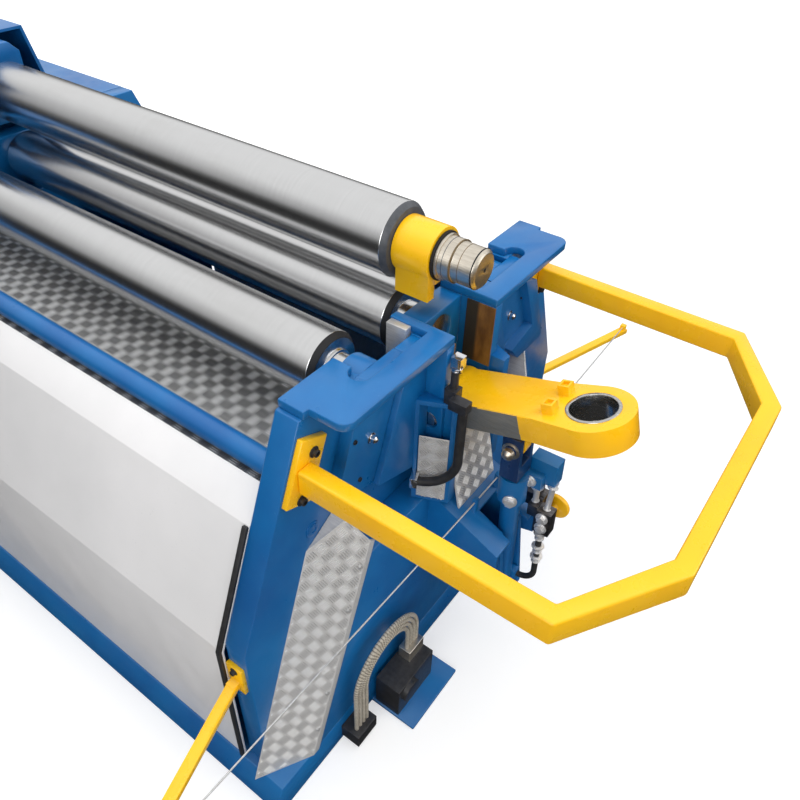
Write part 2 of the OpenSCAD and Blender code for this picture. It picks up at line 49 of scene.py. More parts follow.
# the camera stands above the front corner of the drop end; right, up and back are its own axes
cameraView = {
    "place": (0.715, -1.165, 2.040), "lens": 33.07, "sensor": 36.0, "near": 0.05, "far": 60.0,
    "right": (0.80583, 0.59164, 0.02470),
    "up": (-0.40054, 0.51388, 0.75861),
    "back": (0.43613, -0.62120, 0.65107),
}


def makeCamera():
    data = bpy.data.cameras.new("machineCamera")
    data.lens = cameraView["lens"]
    data.sensor_width = cameraView["sensor"]
    data.clip_start = cameraView["near"]
    data.clip_end = cameraView["far"]
    camera = bpy.data.objects.new("machineCamera", data)
    bpy.context.scene.collection.objects.link(camera)
    axes = [Vector(cameraView[name]) for name in ("right", "up", "back")]
    camera.matrix_world = Matrix.Translation(cameraView["place"]) @ Matrix(axes).transposed().to_4x4()
    bpy.context.scene.camera = camera


makeCamera()


# helpers that add nodes to a material
def newMaterial(name):
    material = bpy.data.materials.new(name)
    material.use_nodes = True
    tree = material.node_tree
    tree.nodes.clear()
    output = tree.nodes.new("ShaderNodeOutputMaterial")
    shader = tree.nodes.new("ShaderNodeBsdfPrincipled")
    tree.links.new(shader.outputs["BSDF"], output.inputs["Surface"])
    coords = tree.nodes.new("ShaderNodeTexCoord")
    return material, tree, shader, coords.outputs["Object"]


def addNoise(tree, source, scale, detail, roughness=0.55, stretch=None):
    if stretch:
        mapping = tree.nodes.new("ShaderNodeMapping")
        mapping.inputs["Scale"].default_value = stretch
        tree.links.new(source, mapping.inputs["Vector"])
        source = mapping.outputs["Vector"]
    noise = tree.nodes.new("ShaderNodeTexNoise")
    noise.inputs["Scale"].default_value = scale
    noise.inputs["Detail"].default_value = detail
    noise.inputs["Roughness"].default_value = roughness
    tree.links.new(source, noise.inputs["Vector"])
    return noise.outputs["Fac"]


def addRamp(tree, source, stops):
    ramp = tree.nodes.new("ShaderNodeValToRGB")
    points = ramp.color_ramp.elements
    while len(points) < len(stops):
        points.new(0.5)
    for point, (place, colour) in zip(points, stops):
        point.position = place
        point.color = (*colour, 1.0)
    tree.links.new(source, ramp.inputs["Fac"])
    return ramp.outputs["Color"]


def addRange(tree, source, low, high, newLow, newHigh):
    node = tree.nodes.new("ShaderNodeMapRange")
    node.inputs["From Min"].default_value = low
    node.inputs["From Max"].default_value = high
    node.inputs["To Min"].default_value = newLow
    node.inputs["To Max"].default_value = newHigh
    tree.links.new(source, node.inputs["Value"])
    return node.outputs["Result"]


def mixColours(tree, amount, first, second):
    mix = tree.nodes.new("ShaderNodeMix")
    mix.data_type = "RGBA"
    # inputs 6 and 7 and output 2 are the colour ones
    for value, index in ((first, 6), (second, 7)):
        if isinstance(value, tuple):
            mix.inputs[index].default_value = (*value, 1.0)
        else:
            tree.links.new(value, mix.inputs[index])
    tree.links.new(amount, mix.inputs[0])
    return mix.outputs[2]


def addBump(tree, shader, height, strength, distance):
    bump = tree.nodes.new("ShaderNodeBump")
    bump.inputs["Strength"].default_value = strength
    bump.inputs["Distance"].default_value = distance
    tree.links.new(height, bump.inputs["Height"])
    tree.links.new(bump.outputs["Normal"], shader.inputs["Normal"])


# the four paints, and the grain that they share; the dark blue is the blue paint darkened as painted shade
paintLooks = {
    "bluePaint": {"deep": (0.002, 0.098, 0.32), "pale": (0.004, 0.155, 0.42),
                  "chip": (0.06, 0.24, 0.46), "rough": 0.34},
    # a darker copy of the blue paint for the ram's rod and fork: painted shade
    "shadedBluePaint": {"deep": (0.003, 0.020, 0.085), "pale": (0.005, 0.034, 0.13),
                  "chip": (0.04, 0.08, 0.18), "rough": 0.34},
    "yellowPaint": {"deep": (0.97, 0.485, 0.004), "pale": (1.0, 0.585, 0.006),
                    "chip": (0.80, 0.46, 0.03), "rough": 0.28},
    "greyPaint": {"deep": (0.73, 0.725, 0.73), "pale": (0.80, 0.79, 0.795),
                  "chip": (0.62, 0.62, 0.63), "rough": 0.40},
}
paintGrain = {
    "patches": 3.2, "specks": 190.0, "smears": 14.0, "peel": 420.0, "chipped": 0.5, "smoother": 0.07,
    "rougher": 0.09, "peelBump": 0.10, "peelDepth": 0.0006, "coat": 0.25, "coatRough": 0.18,
}


def makePaint(name):
    look, grain = paintLooks[name], paintGrain
    material, tree, shader, place = newMaterial(name)
    wide = addNoise(tree, place, grain["patches"], 4.0)
    tone = addRamp(tree, wide, [(0.32, look["deep"]), (0.68, look["pale"])])
    specks = addNoise(tree, place, grain["specks"], 2.0)
    worn = addRange(tree, specks, 0.70, 0.76, 0.0, grain["chipped"])
    tree.links.new(mixColours(tree, worn, tone, look["chip"]), shader.inputs["Base Color"])
    smears = addNoise(tree, place, grain["smears"], 5.0, 0.6)
    smoothest, roughest = look["rough"] - grain["smoother"], look["rough"] + grain["rougher"]
    gloss = addRange(tree, smears, 0.3, 0.7, smoothest, roughest)
    tree.links.new(gloss, shader.inputs["Roughness"])
    peel = addNoise(tree, place, grain["peel"], 2.0)
    addBump(tree, shader, peel, grain["peelBump"], grain["peelDepth"])
    shader.inputs["Coat Weight"].default_value = grain["coat"]
    shader.inputs["Coat Roughness"].default_value = grain["coatRough"]
    return material


# ground steel of the rolls, with fine rings round them and faint stains along them
rollSteelLook = {
    "dark": (0.64, 0.642, 0.645), "light": (0.72, 0.722, 0.725), "stain": (0.47, 0.455, 0.43),
    "rings": 9.0, "ringStretch": (90.0, 0.6, 0.6), "stains": 5.0, "stainStretch": (0.5, 2.0, 2.0),
    "stained": 0.25, "smoothest": 0.19, "roughest": 0.27, "bump": 0.03, "depth": 0.0003,
}


def makeRollSteel():
    look = rollSteelLook
    material, tree, shader, place = newMaterial("rollSteel")
    shader.inputs["Metallic"].default_value = 1.0
    rings = addNoise(tree, place, look["rings"], 4.0, 0.65, look["ringStretch"])
    tone = addRamp(tree, rings, [(0.25, look["dark"]), (0.75, look["light"])])
    stains = addNoise(tree, place, look["stains"], 5.0, 0.6, look["stainStretch"])
    faint = addRange(tree, stains, 0.50, 0.8, 0.0, look["stained"])
    tree.links.new(mixColours(tree, faint, tone, look["stain"]), shader.inputs["Base Color"])
    gloss = addRange(tree, rings, 0.2, 0.8, look["smoothest"], look["roughest"])
    tree.links.new(gloss, shader.inputs["Roughness"])
    addBump(tree, shader, rings, look["bump"], look["depth"])
    return material


# bare and plated metals: material name, light tone, dark tone, roughness, how metallic
metalLooks = {
    "machined": ("machinedSteel", (0.70, 0.70, 0.70), (0.50, 0.50, 0.50), 0.34, 0.6),
    "tread": ("treadAluminium", (0.90, 0.90, 0.89), (0.76, 0.76, 0.76), 0.30, 0.35),
    # a dark copy of the tread aluminium for every second group of deck bars: painted reflection
    "treadBarsPaintedShade": ("treadBarsPaintedShade", (0.34, 0.34, 0.34), (0.22, 0.22, 0.22), 0.36, 0.8),
    # darker copies of the aluminium for the ground between the bars, the deck's darker than the covers':
    # painted shade
    "treadDeckPaintedShade": ("treadDeckPaintedShade", (0.44, 0.44, 0.43), (0.27, 0.27, 0.27), 0.42, 0.45),
    "treadCoverPaintedShade": ("treadCoverPaintedShade", (0.66, 0.65, 0.64), (0.50, 0.495, 0.49), 0.42, 0.2),
    # a less dark copy for every second group of bars on the covers: painted reflection
    "treadBarsPaintedHalfShade": ("treadBarsPaintedHalfShade", (0.56, 0.555, 0.55), (0.44, 0.44, 0.44), 0.34, 0.4),
    "polishedBore": ("polishedBore", (0.60, 0.60, 0.58), (0.42, 0.42, 0.41), 0.22, 1.0),
    "bareSteel": ("bareSteel", (0.24, 0.24, 0.22), (0.17, 0.17, 0.16), 0.45, 0.25),
    "stubSteel": ("stubSteel", (0.80, 0.74, 0.64), (0.62, 0.56, 0.47), 0.36, 1.0),
    "zinc": ("zincPlate", (0.93, 0.93, 0.93), (0.80, 0.80, 0.81), 0.36, 0.70),
    "chrome": ("chromePlate", (0.86, 0.86, 0.87), (0.70, 0.70, 0.72), 0.14, 1.0),
    "darkSteel": ("darkSteel", (0.20, 0.20, 0.21), (0.09, 0.09, 0.10), 0.38, 1.0),
}
metalMarks = {"scale": 30.0, "stretch": (1.0, 6.0, 14.0), "smoother": 0.06, "rougher": 0.10,
              "bump": 0.12, "depth": 0.0004}


def makeMetal(name, light, dark, rough, metal):
    look = metalMarks
    material, tree, shader, place = newMaterial(name)
    shader.inputs["Metallic"].default_value = metal
    marks = addNoise(tree, place, look["scale"], 4.0, 0.6, look["stretch"])
    tree.links.new(addRamp(tree, marks, [(0.3, dark), (0.7, light)]), shader.inputs["Base Color"])
    gloss = addRange(tree, marks, 0.2, 0.8, rough - look["smoother"], rough + look["rougher"])
    tree.links.new(gloss, shader.inputs["Roughness"])
    addBump(tree, shader, marks, look["bump"], look["depth"])
    return material


# dull dark surfaces: material name, light tone, dark tone, roughness
dullLooks = {
    # dark steel as a painted reflection of dark surroundings on the top roll's end faces, and as painted
    # shade in a stub groove
    "paintedDark": ("paintedDarkSteel", (0.085, 0.092, 0.105), (0.045, 0.050, 0.058), 0.42),
    # near-black for holes, grooves and the side rolls' end chamfers: painted shade and painted dark
    # reflection
    "paintedBlackShade": ("shadowedHole", (0.010, 0.010, 0.011), (0.004, 0.004, 0.005), 0.7),
    "brassLine": ("stainedLine", (0.20, 0.13, 0.06), (0.10, 0.07, 0.03), 0.45),
    "rubber": ("blackRubber", (0.028, 0.028, 0.030), (0.012, 0.012, 0.013), 0.6),
    "blackIron": ("blackIron", (0.035, 0.035, 0.038), (0.014, 0.014, 0.016), 0.42),
}
dullGrain = {"scale": 60.0, "finer": 6, "spread": 0.08, "bump": 0.25, "depth": 0.0005}


def makeDull(name, light, dark, rough):
    look = dullGrain
    material, tree, shader, place = newMaterial(name)
    grain = addNoise(tree, place, look["scale"], 4.0, 0.6)
    tree.links.new(addRamp(tree, grain, [(0.3, dark), (0.7, light)]), shader.inputs["Base Color"])
    gloss = addRange(tree, grain, 0.2, 0.8, rough - look["spread"], rough + look["spread"])
    tree.links.new(gloss, shader.inputs["Roughness"])
    pits = addNoise(tree, place, look["scale"] * look["finer"], 2.0)
    addBump(tree, shader, pits, look["bump"], look["depth"])
    return material


# bronze pads beside the yoke, darker towards the machine
wearPadLook = {
    "grain": 34.0, "stretch": (1.0, 1.0, 0.35), "dark": (0.10, 0.045, 0.012), "light": (0.26, 0.13, 0.035),
    "innerDark": (0.035, 0.028, 0.018), "darkUntil": 0.046, "plainFrom": 0.053,
    "smoothest": 0.38, "roughest": 0.55, "bump": 0.3, "depth": 0.0008,
}


def makeWearPad():
    look = wearPadLook
    material, tree, shader, place = newMaterial("wearBronze")
    split = tree.nodes.new("ShaderNodeSeparateXYZ")
    tree.links.new(place, split.inputs[0])
    grain = addNoise(tree, place, look["grain"], 5.0, 0.6, look["stretch"])
    brown = addRamp(tree, grain, [(0.32, look["dark"]), (0.66, look["light"])])
    # the pads' inner part, towards the machine, is coloured darker
    innerDark = addRange(tree, split.outputs["X"], look["darkUntil"], look["plainFrom"], 1.0, 0.0)
    tree.links.new(mixColours(tree, innerDark, brown, look["innerDark"]), shader.inputs["Base Color"])
    gloss = addRange(tree, grain, 0.2, 0.8, look["smoothest"], look["roughest"])
    tree.links.new(gloss, shader.inputs["Roughness"])
    addBump(tree, shader, grain, look["bump"], look["depth"])
    return material


finish = {name: makePaint(name) for name in paintLooks}
finish["rollSteel"] = makeRollSteel()
finish.update({name: makeMetal(*look) for name, look in metalLooks.items()})
finish.update({name: makeDull(*look) for name, look in dullLooks.items()})
finish["bronze"] = makeWearPad()

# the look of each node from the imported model
nodeFinish = {
    "bluePaint": ["base_frame", "drop_end_plate", "drop_end_caps", "front_box", "yoke_cheeks",
                  "slide_guide_plates", "slide_cover_panels", "drive_end_plate", "drive_housing",
                  "front_rail", "rear_rail", "bottom_roll_blocks", "front_slide_blocks",
                  "rear_slide_blocks", "ram_barrel", "ram_foot_bracket", "hinge_housings"],
    "yellowPaint": ["top_roll_collar", "yoke_arm", "guard_rail", "guard_brackets", "trip_wire_posts",
                    "ram_knob"],
    "greyPaint": ["front_panel", "rear_panel"],
    "rollSteel": ["top_roll", "bottom_roll", "front_side_roll", "rear_side_roll"],
    "machined": ["slide_liners", "trip_wire"],
    "chrome": ["yoke_hinge_pin"],
    # the ground between the tread bars is painted shade, darker on the decks than on the covers
    "treadDeckPaintedShade": ["front_deck", "rear_deck"],
    "treadCoverPaintedShade": ["tall_cover", "hinge_covers"],
    "polishedBore": ["yoke_bush"],
    "shadedBluePaint": ["ram_rod"],
    "darkSteel": ["ram_valve_block"],
    "bronze": ["yoke_wear_pads"],
    "rubber": ["front_panel_seal", "hinge_hose", "ram_hose"],
    "blackIron": ["hose_fittings", "hydraulic_unit"],
    "sleeve": ["unit_hoses"],
}


def paintNodes():
    for look, names in nodeFinish.items():
        for name in names:
            mesh = frame["nodes"][name].data
            mesh.materials.clear()
            mesh.materials.append(finish[look])


# a pale sleeve whose ribs follow the hoses up one side, over the arch and down the other, its grooves
# darkened as painted shade
bundleLook = {
    "middleY": -0.322, "archZ": 0.236, "meanRadius": 0.113, "rib": 0.0075, "dirt": 40.0,
    "dark": (0.44, 0.39, 0.31), "light": (0.60, 0.55, 0.46), "grooveShade": (0.12, 0.10, 0.08), "grooveShadeAmount": 0.75,
    "smoothest": 0.45, "roughest": 0.62, "bump": 0.6, "depth": 0.0012,
}


def doMath(tree, operation, first, second=None):
    node = tree.nodes.new("ShaderNodeMath")
    node.operation = operation
    for index, value in enumerate((first, second)):
        if isinstance(value, float):
            node.inputs[index].default_value = value
        elif value is not None:
            tree.links.new(value, node.inputs[index])
    return node.outputs[0]


def makeSleeve():
    look = bundleLook
    material, tree, shader, place = newMaterial("ribbedSleeve")
    split = tree.nodes.new("ShaderNodeSeparateXYZ")
    tree.links.new(place, split.inputs[0])
    rise = doMath(tree, "SUBTRACT", split.outputs["Z"], look["archZ"])
    side = doMath(tree, "ABSOLUTE", doMath(tree, "SUBTRACT", split.outputs["Y"], look["middleY"]))
    bend = doMath(tree, "MULTIPLY", doMath(tree, "ARCTAN2", rise, side), look["meanRadius"])
    above = doMath(tree, "GREATER_THAN", rise, 0.0)
    along = doMath(tree, "ADD", doMath(tree, "MULTIPLY", bend, above),
                   doMath(tree, "MULTIPLY", rise, doMath(tree, "SUBTRACT", 1.0, above)))
    ribs = doMath(tree, "SINE", doMath(tree, "MULTIPLY", along, 2 * math.pi / look["rib"]))
    dirt = addNoise(tree, place, look["dirt"], 4.0)
    tone = addRamp(tree, dirt, [(0.3, look["dark"]), (0.7, look["light"])])
    # the troughs between the ribs are darkened: painted shade
    shade = addRange(tree, ribs, -1.0, 0.2, look["grooveShadeAmount"], 0.0)
    tree.links.new(mixColours(tree, shade, tone, look["grooveShade"]), shader.inputs["Base Color"])
    gloss = addRange(tree, dirt, 0.2, 0.8, look["smoothest"], look["roughest"])
    tree.links.new(gloss, shader.inputs["Roughness"])
    addBump(tree, shader, ribs, look["bump"], look["depth"])
    return material


finish["sleeve"] = makeSleeve()
paintNodes()
print("stage: finishes made")

bodies = frame["record"]["behaviour"]["bodies"]
bodyOf = {name: body for body, names in bodies.items() for name in names}


# modelling helpers
def pickOnly(*things):
    bpy.ops.object.select_all(action="DESELECT")
    for thing in things:
        thing.select_set(True)
    bpy.context.view_layer.objects.active = things[0]


def pickFaces(piece, test):
    bpy.ops.mesh.select_mode(type="FACE")
    bpy.ops.mesh.select_all(action="DESELECT")
    bpy.ops.object.mode_set(mode="OBJECT")
    for face in piece.data.polygons:
        face.select = test(face)
    bpy.ops.object.mode_set(mode="EDIT")


def addBevel(piece, width, segments=2, angle=32.0):
    bevel = piece.modifiers.new("edges", "BEVEL")
    bevel.width = width
    bevel.segments = segments
    bevel.limit_method = "ANGLE"
    bevel.angle_limit = math.radians(angle)
    bevel.use_clamp_overlap = True
    pickOnly(piece)
    bpy.ops.object.modifier_apply(modifier="edges")


def smooth(piece, angle=34.0):
    pickOnly(piece)
    bpy.ops.object.shade_smooth_by_angle(angle=math.radians(angle))


def dress(piece, looks, body, test=None):
    mesh = piece.data
    mesh.materials.clear()
    for look in looks:
        mesh.materials.append(finish[look])
    for face in mesh.polygons:
        face.material_index = test(face.center, face.normal) if test else 0
    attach(piece, body)


# a copy of a node has its loose triangles merged, and flat ones joined, before its edges are softened
copyCare = {"merge": 0.00002, "flat": 1.0}


def softCopy(name, width, segments=2, angle=32.0, looks=None, test=None, shape=None):
    source = frame["nodes"][name]
    piece = bpy.data.objects.new(name + "Shell", source.data.copy())
    bpy.context.scene.collection.objects.link(piece)
    pickOnly(piece)
    bpy.ops.object.mode_set(mode="EDIT")
    bpy.ops.mesh.select_all(action="SELECT")
    bpy.ops.mesh.remove_doubles(threshold=copyCare["merge"])
    bpy.ops.mesh.dissolve_limited(angle_limit=math.radians(copyCare["flat"]))
    if shape:
        shape(piece)
    bpy.ops.object.mode_set(mode="OBJECT")
    addBevel(piece, width, segments, angle)
    smooth(piece)
    look = looks or [next(key for key, names in nodeFinish.items() if name in names)]
    dress(piece, look, bodyOf[name], test)
    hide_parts(name)


def bakePlace(piece):
    pickOnly(piece)
    bpy.ops.object.transform_apply(location=True, rotation=True, scale=True)


def repeatPiece(master, places, name):
    copies = []
    for place in places:
        copy = master.copy()
        copy.data = master.data.copy()
        bpy.context.scene.collection.objects.link(copy)
        copy.matrix_world = place @ master.matrix_world
        copies.append(copy)
    bpy.data.objects.remove(master)
    pickOnly(*copies)
    if len(copies) > 1:
        bpy.ops.object.join()
    whole = bpy.context.object
    whole.name = name
    bakePlace(whole)
    return whole


def facing(place, normal, turn=0.0):
    spin = Matrix.Rotation(turn, 4, "Z")
    return Matrix.Translation(place) @ Vector(normal).to_track_quat("Z", "Y").to_matrix().to_4x4() @ spin


def onAxes(corner, along, across, out):
    turn = Matrix((Vector(along), Vector(across), Vector(out))).transposed().to_4x4()
    return Matrix.Translation(corner) @ turn


# softened copies of the machine's solids
edgeSizes = {
    "plate": 0.0025, "small": 0.0015, "sheet": 0.0012, "foldAngle": 12.0, "tube": 0.0055, "casting": 0.0045,
    "pin": 0.007, "fittings": 0.0045, "unit": 0.010, "collar": 0.003, "seal": 0.003,
}
plates = [
    "drop_end_plate", "drop_end_caps", "front_box", "yoke_cheeks", "slide_guide_plates", "slide_cover_panels",
    "drive_end_plate", "bottom_roll_blocks", "front_slide_blocks", "rear_slide_blocks", "ram_foot_bracket",
    "base_frame", "guard_brackets", "trip_wire_posts",
]
# where the second look of a piece begins
lookLines = {"crimpsAbove": 1.084, "crimpsBelow": 0.79, "rodBelow": 0.77,
             "portAbove": 0.136, "portPast": -0.25}
# the yoke's neck has bare sides, and the two small blocks on it have sunk tops
yokeNeck = {"x": 0.058, "z": 0.921, "tilt": 17.0, "bareFrom": 0.070, "bareTo": 0.212, "side": 0.066,
            "blockTop": 0.045, "rim": 0.005, "sunk": 0.008}


def alongYoke(place):
    tilt = math.radians(yokeNeck["tilt"])
    return (place.x - yokeNeck["x"]) * math.cos(tilt) + (place.z - yokeNeck["z"]) * math.sin(tilt)


def yokeSide(centre, normal):
    bare = yokeNeck["bareFrom"] < alongYoke(centre) < yokeNeck["bareTo"]
    return 1 if abs(normal.y) > 0.9 and abs(centre.y) > yokeNeck["side"] and bare else 0


def shapeYoke(piece):
    look = yokeNeck
    tilt = math.radians(look["tilt"])
    pivot = Vector((look["x"], 0, look["z"]))
    up = Vector((-math.sin(tilt), 0, math.cos(tilt)))
    # the bare sides end at two lines across the neck
    for reach in (look["bareFrom"], look["bareTo"]):
        line = (look["x"] + reach * math.cos(tilt), 0, look["z"] + reach * math.sin(tilt))
        bpy.ops.mesh.select_all(action="SELECT")
        bpy.ops.mesh.bisect(plane_co=line, plane_no=(math.cos(tilt), 0, math.sin(tilt)))

    def isBlockTop(face):
        return face.normal.dot(up) > 0.99 and (face.center - pivot).dot(up) > look["blockTop"]

    pickFaces(piece, isBlockTop)
    bpy.ops.mesh.inset(thickness=look["rim"], use_individual=True)
    bpy.ops.mesh.extrude_region_move(TRANSFORM_OT_translate={"value": tuple(up * -look["sunk"])})


def isCrimp(centre, normal):
    return 1 if centre.z > lookLines["crimpsAbove"] or centre.z < lookLines["crimpsBelow"] else 0


def isPort(centre, normal):
    return 1 if centre.z > lookLines["portAbove"] and centre.y > lookLines["portPast"] else 0


def isRod(centre, normal):
    return 1 if centre.z < lookLines["rodBelow"] else 0


def softenAll():
    edge = edgeSizes
    for name in plates:
        softCopy(name, edge["plate"])
    for name in ("slide_liners", "ram_valve_block", "hinge_covers"):
        softCopy(name, edge["small"])
    softCopy("yoke_hinge_pin", edge["pin"], 4)
    softCopy("hose_fittings", edge["fittings"], 3, looks=["blackIron", "chrome"], test=isCrimp)
    softCopy("guard_rail", edge["tube"], 4)
    softCopy("hydraulic_unit", edge["unit"], 4, looks=["blackIron", "stubSteel"], test=isPort)
    softCopy("ram_knob", edge["casting"], 3)
    # the rod's fork takes the darker blue, which is painted shade
    softCopy("ram_rod", edge["casting"], 3, looks=["shadedBluePaint", "machined"], test=isRod)
    softCopy("ram_barrel", edge["plate"], 3)
    softCopy("top_roll_collar", edge["collar"], 3)
    softCopy("yoke_arm", edge["casting"], 3, looks=["yellowPaint", "bareSteel"], test=yokeSide,
             shape=shapeYoke)
    softCopy("yoke_bush", edge["small"])
    softCopy("hinge_housings", edge["small"])
    softCopy("front_panel", edge["sheet"], angle=edge["foldAngle"])
    softCopy("rear_panel", edge["sheet"], angle=edge["foldAngle"])
    softCopy("tall_cover", edge["sheet"])
    softCopy("front_panel_seal", edge["seal"], 3)


softenAll()
print("stage: edges softened")

rolls = {
    "top_roll": {"radius": 0.085, "y": 0.0, "z": 1.271},
    "bottom_roll": {"radius": 0.0775, "y": 0.0, "z": 1.0735},
    "front_side_roll": {"radius": 0.0785, "y": -0.25, "z": 1.081},
    "rear_side_roll": {"radius": 0.0785, "y": 0.25, "z": 1.081},
}
rollLook = {"edge": 0.0012, "stubFrom": -0.004, "shoulderTo": -0.09, "slope": 0.35, "band": 0.030,
            "rim": 0.001, "journal": 0.008, "eased": 0.996}


# the rolls' end faces and chamfers take a dark copy, a painted reflection of the dark they face
def rollEnds(roll, isTop):
    look, radius = rollLook, roll["radius"]

    def test(centre, normal):
        away = math.hypot(centre.y - roll["y"], centre.z - roll["z"])
        if isTop and centre.x > look["stubFrom"]:
            return 2
        if abs(normal.x) > look["slope"] and radius - look["band"] < away < radius - look["rim"]:
            return 1
        if isTop and abs(normal.x) > 0.9 and away < radius and centre.x < look["shoulderTo"]:
            return 1
        return 0

    return test


def easeJournals(roll):
    look = rollLook

    def isJournal(face):
        away = math.hypot(face.center.y - roll["y"], face.center.z - roll["z"])
        return abs(face.normal.x) < 0.1 and away < roll["radius"] - look["journal"]

    def shape(piece):
        # the journals run a hair clear of their bores at every turn
        pickFaces(piece, isJournal)
        slimmer = (1, look["eased"], look["eased"])
        bpy.ops.transform.resize(value=slimmer, center_override=(0, roll["y"], roll["z"]))

    return shape


def softenRolls():
    for name, roll in rolls.items():
        isTop = name == "top_roll"
        looks = ["rollSteel", "paintedDark" if isTop else "paintedBlackShade", "stubSteel"]
        softCopy(name, rollLook["edge"], looks=looks, test=rollEnds(roll, isTop), shape=easeJournals(roll))


softenRolls()

# bands and grooves on the top roll's stub; the near-black and dark grey ones are painted shade in the grooves
# and the centre hole
stubBands = [
    {"from": -0.0035, "to": 0.0030, "radius": 0.0545, "look": "paintedBlackShade"},
    {"from": 0.0030, "to": 0.0100, "radius": 0.0512, "look": "stubSteel"},
    {"from": 0.0190, "to": 0.0205, "radius": 0.0473, "look": "paintedDark"},
    {"from": 0.0365, "to": 0.0400, "radius": 0.0478, "look": "brassLine"},
    {"from": 0.0560, "to": 0.0575, "radius": 0.0443, "look": "brassLine"},
    {"from": 0.0865, "to": 0.0895, "radius": 0.0449, "look": "paintedBlackShade"},
    {"from": 0.0960, "to": 0.0973, "radius": 0.0048, "look": "paintedBlackShade"},
]
bandEdge = {"width": 0.0012, "share": 0.3}


def makeStubBands():
    roll = rolls["top_roll"]
    for index, band in enumerate(stubBands):
        bpy.ops.object.select_all(action="DESELECT")
        width = band["to"] - band["from"]
        bpy.ops.mesh.primitive_cylinder_add(
            vertices=72, radius=band["radius"], depth=width, end_fill_type="NGON",
            location=((band["from"] + band["to"]) / 2, roll["y"], roll["z"]), rotation=(0, math.pi / 2, 0))
        ring = bpy.context.object
        ring.name = f"stubBand{index}"
        bakePlace(ring)
        bpy.ops.object.mode_set(mode="EDIT")
        pickFaces(ring, lambda face: abs(face.normal.x) > 0.9)
        bpy.ops.mesh.inset(thickness=bandEdge["width"])
        bpy.ops.object.mode_set(mode="OBJECT")
        addBevel(ring, min(bandEdge["width"], width * bandEdge["share"]))
        smooth(ring)
        dress(ring, [band["look"]], "top_roll_body")


makeStubBands()
print("stage: rolls dressed")

# raised bars in groups of five, turned from one cell to the next; every second group is coloured as a darker
# copy of the aluminium, a painted reflection
treadLook = {
    "cell": 0.0285, "bars": 5, "pitch": 0.0055, "length": 0.0245, "width": 0.0034, "height": 0.0026,
    "topLength": 0.78, "topWidth": 0.30, "lift": 0.0002, "margin": 0.004, "diagonal": math.radians(45),
}


def makeBar():
    look = treadLook
    bpy.ops.object.select_all(action="DESELECT")
    bpy.ops.mesh.primitive_cylinder_add(vertices=8, radius=0.5, depth=1.0, location=(0, 0, 0))
    bar = bpy.context.object
    bar.scale = (look["length"], look["width"], look["height"])
    bakePlace(bar)
    bpy.ops.object.mode_set(mode="EDIT")
    pickFaces(bar, lambda face: face.normal.z > 0.9)
    taper = (look["topLength"], look["topWidth"], 1.0)
    bpy.ops.transform.resize(value=taper, center_override=(0, 0, look["height"] / 2))
    bpy.ops.object.mode_set(mode="OBJECT")
    return bar


def makeTile(shades):
    look = treadLook
    cell = look["cell"]
    middle = (look["bars"] - 1) / 2
    halves = []
    for odd, shade in enumerate(shades):
        bar = makeBar()
        bar.data.materials.append(finish[shade])
        places = []
        for column in (0, 1):
            row = (column + odd) % 2
            turn = Matrix.Rotation(math.pi / 2 * odd, 4, "Z")
            centre = Matrix.Translation((cell * (column + 0.5), cell * (row + 0.5), 0))
            for index in range(look["bars"]):
                places.append(centre @ turn @ Matrix.Translation((0, (index - middle) * look["pitch"], 0)))
        halves.append(repeatPiece(bar, places, f"treadHalf{odd}"))
    pickOnly(*halves)
    bpy.ops.object.join()
    return bpy.context.object


def makeTread(name, frameOf, size, turn=0.0, cuts=(), shades=("tread", "treadBarsPaintedHalfShade")):
    step = 2 * treadLook["cell"]
    # a turned pattern is laid from its middle and reaches past the corners before it is cut to size
    reach = math.hypot(*size) if turn else 0.0
    low = (-reach / 2, -reach / 2) if turn else (0.0, 0.0)
    count = [math.ceil((reach if turn else side) / step) for side in size]
    middle = Matrix.Translation((size[0] / 2, size[1] / 2, 0)) if turn else Matrix.Identity(4)
    places = []
    for column in range(count[0]):
        for row in range(count[1]):
            spot = Vector((low[0] + column * step, low[1] + row * step, 0))
            places.append(frameOf @ middle @ Matrix.Rotation(turn, 4, "Z") @ Matrix.Translation(spot))
    field = repeatPiece(makeTile(shades), places, name)
    edges = [((0, 0, 0), (-1, 0, 0)), ((size[0], 0, 0), (1, 0, 0)),
             ((0, 0, 0), (0, -1, 0)), ((0, size[1], 0), (0, 1, 0))]
    planes = [(frameOf @ Vector(point), frameOf.to_3x3() @ Vector(normal)) for point, normal in edges]
    bpy.ops.object.mode_set(mode="EDIT")
    for point, normal in [*planes, *cuts]:
        bpy.ops.mesh.select_all(action="SELECT")
        bpy.ops.mesh.bisect(plane_co=tuple(point), plane_no=tuple(normal), use_fill=True, clear_outer=True)
    bpy.ops.object.mode_set(mode="OBJECT")
    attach(field, "base")


# the decks between the end plates; their ground is painted with more shade than the covers' ground
deckLook = {"front": -0.496, "rear": 0.152, "width": 0.344}


def makeDeckBars():
    lift, margin, wide = treadLook["lift"], treadLook["margin"], deckLook["width"]
    low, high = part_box("front_deck")
    for name, near in (("frontDeckBars", deckLook["front"]), ("rearDeckBars", deckLook["rear"])):
        place = onAxes((low.x + margin, near, high.z + lift), (1, 0, 0), (0, 1, 0), (0, 0, 1))
        size = (high.x - low.x - 2 * margin, wide)
        # every second group of deck bars takes the darkest copy, a painted reflection
        makeTread(name, place, size, shades=("tread", "treadBarsPaintedShade"))


# the tall covers' outer faces: these are the front cover's places, and the rear one mirrors it
coverLook = {
    "lean": 20.6, "run": (0.078, 0.126), "top": (0, -0.480, 0.763), "drop": 0.70, "size": (0.140, 0.90),
    "outline": [(-0.352, 0.742), (-0.388, 0.822), (-0.490, 0.763)], "foot": 0.116,
}


